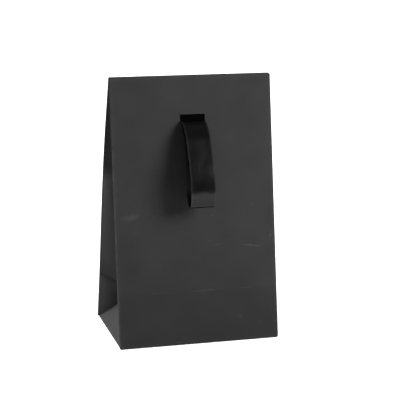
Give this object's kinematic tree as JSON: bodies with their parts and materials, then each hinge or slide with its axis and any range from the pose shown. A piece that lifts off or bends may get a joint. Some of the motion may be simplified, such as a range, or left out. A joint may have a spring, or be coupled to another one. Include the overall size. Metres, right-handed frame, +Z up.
{
  "type": "gift bag",
  "caption": "Small gusseted paper gift bag with a flat bottom, its mouth pinched shut, with a satin ribbon handle loop hanging from a slot in each face.",
  "frame": {"origin": "on the ground, under the middle of the flat bottom", "axes": "+X along the wide side, to the right seen from the front; -Y is the front; +Z up"},
  "size_m": [0.1, 0.0682, 0.1592],
  "materials": {
    "bag_paper": "matte black laminated paper, faintly mottled",
    "ribbon_satin": "black satin ribbon with a soft sheen",
    "board_card": "dark grey card"
  },
  "bodies": {
    "bottom": {"bottom_back_flap": "bag_paper", "bottom_front_flap": "bag_paper", "bottom_left_tuck": "bag_paper", "bottom_right_tuck": "bag_paper", "base_board": "board_card"},
    "front": {"front_panel": "bag_paper", "front_hem": "bag_paper", "front_anchor_patch": "board_card", "front_ribbon_lower_tail": "ribbon_satin", "front_ribbon_upper_tail": "ribbon_satin"},
    "back": {"back_panel": "bag_paper", "back_hem": "bag_paper", "back_anchor_patch": "board_card", "back_ribbon_lower_tail": "ribbon_satin", "back_ribbon_upper_tail": "ribbon_satin", "seam_flap": "bag_paper"},
    "left_foot": {"left_gusset_foot": "bag_paper"},
    "right_foot": {"right_gusset_foot": "bag_paper"},
    "left_front_leaf": {"left_front_leaf": "bag_paper"},
    "left_front_crown": {"left_front_crown": "bag_paper"},
    "right_front_leaf": {"right_front_leaf": "bag_paper"},
    "right_front_crown": {"right_front_crown": "bag_paper"},
    "right_back_leaf": {"right_back_leaf": "bag_paper"},
    "right_back_crown": {"right_back_crown": "bag_paper"},
    "left_back_leaf": {"left_back_leaf": "bag_paper"},
    "left_back_crown": {"left_back_crown": "bag_paper"},
    "front_loop": {"front_ribbon_loop": "ribbon_satin"},
    "back_loop": {"back_ribbon_loop": "ribbon_satin"}
  },
  "joints": [
    {"name": "front_panel_fold", "type": "hinge", "parent": "bottom", "child": "front", "pos_m": [0, -0.03235, 0.00015], "axis": [1, 0, 0], "range_deg": [0, 8.5]},
    {"name": "back_panel_fold", "type": "hinge", "parent": "bottom", "child": "back", "pos_m": [0, 0.03235, 0.00015], "axis": [-1, 0, 0], "range_deg": [0, 8.5]},
    {"name": "left_foot_fold", "type": "hinge", "parent": "bottom", "child": "left_foot", "pos_m": [-0.0496, 0, -0.00005], "axis": [0, -1, 0], "range_deg": [0, 14.88]},
    {"name": "right_foot_fold", "type": "hinge", "parent": "bottom", "child": "right_foot", "pos_m": [0.0496, 0, -0.00005], "axis": [0, 1, 0], "range_deg": [0, 14.88]},
    {"name": "left_front_leaf_fold", "type": "hinge", "parent": "front", "child": "left_front_leaf", "pos_m": [-0.0496, -0.03132, -0.00005], "axis": [0, 0.1899, 0.9818], "range_deg": [0, 14.88]},
    {"name": "left_front_crown_fold", "type": "hinge", "parent": "left_front_leaf", "child": "left_front_crown", "pos_m": [-0.03222, -0.00055, 0.02534], "axis": [-0.129, 0, 0.9916], "range_deg": [0, 31.46]},
    {"name": "right_front_leaf_fold", "type": "hinge", "parent": "front", "child": "right_front_leaf", "pos_m": [0.0496, -0.03132, -0.00005], "axis": [0, -0.1899, -0.9818], "range_deg": [0, 14.88]},
    {"name": "right_front_crown_fold", "type": "hinge", "parent": "right_front_leaf", "child": "right_front_crown", "pos_m": [0.03222, -0.00055, 0.02534], "axis": [-0.129, 0, -0.9916], "range_deg": [0, 31.46]},
    {"name": "right_back_leaf_fold", "type": "hinge", "parent": "back", "child": "right_back_leaf", "pos_m": [0.0496, 0.03132, -0.00005], "axis": [0, -0.1899, 0.9818], "range_deg": [0, 14.88]},
    {"name": "right_back_crown_fold", "type": "hinge", "parent": "right_back_leaf", "child": "right_back_crown", "pos_m": [0.03222, 0.00055, 0.02534], "axis": [0.129, 0, 0.9916], "range_deg": [0, 31.46]},
    {"name": "left_back_leaf_fold", "type": "hinge", "parent": "back", "child": "left_back_leaf", "pos_m": [-0.0496, 0.03132, -0.00005], "axis": [0, 0.1899, -0.9818], "range_deg": [0, 14.88]},
    {"name": "left_back_crown_fold", "type": "hinge", "parent": "left_back_leaf", "child": "left_back_crown", "pos_m": [-0.03222, 0.00055, 0.02534], "axis": [0.129, 0, -0.9916], "range_deg": [0, 31.46]},
    {"name": "front_ribbon_swing", "type": "hinge", "parent": "front", "child": "front_loop", "pos_m": [0, -0.00988, 0.13208], "axis": [-1, 0, 0], "range_deg": [0, 130]},
    {"name": "back_ribbon_swing", "type": "hinge", "parent": "back", "child": "back_loop", "pos_m": [0, 0.00988, 0.13208], "axis": [1, 0, 0], "range_deg": [0, 130]}
  ],
  "couplings": [
    {"joint": "back_panel_fold", "follows": "front_panel_fold", "ratio": 1},
    {"joint": "left_foot_fold", "follows": "front_panel_fold", "ratio": 1.75},
    {"joint": "right_foot_fold", "follows": "front_panel_fold", "ratio": 1.75},
    {"joint": "left_front_leaf_fold", "follows": "front_panel_fold", "ratio": 1.75},
    {"joint": "left_front_crown_fold", "follows": "front_panel_fold", "ratio": 3.7},
    {"joint": "right_front_leaf_fold", "follows": "front_panel_fold", "ratio": 1.75},
    {"joint": "right_front_crown_fold", "follows": "front_panel_fold", "ratio": 3.7},
    {"joint": "right_back_leaf_fold", "follows": "front_panel_fold", "ratio": 1.75},
    {"joint": "right_back_crown_fold", "follows": "front_panel_fold", "ratio": 3.7},
    {"joint": "left_back_leaf_fold", "follows": "front_panel_fold", "ratio": 1.75},
    {"joint": "left_back_crown_fold", "follows": "front_panel_fold", "ratio": 3.7}
  ]
}
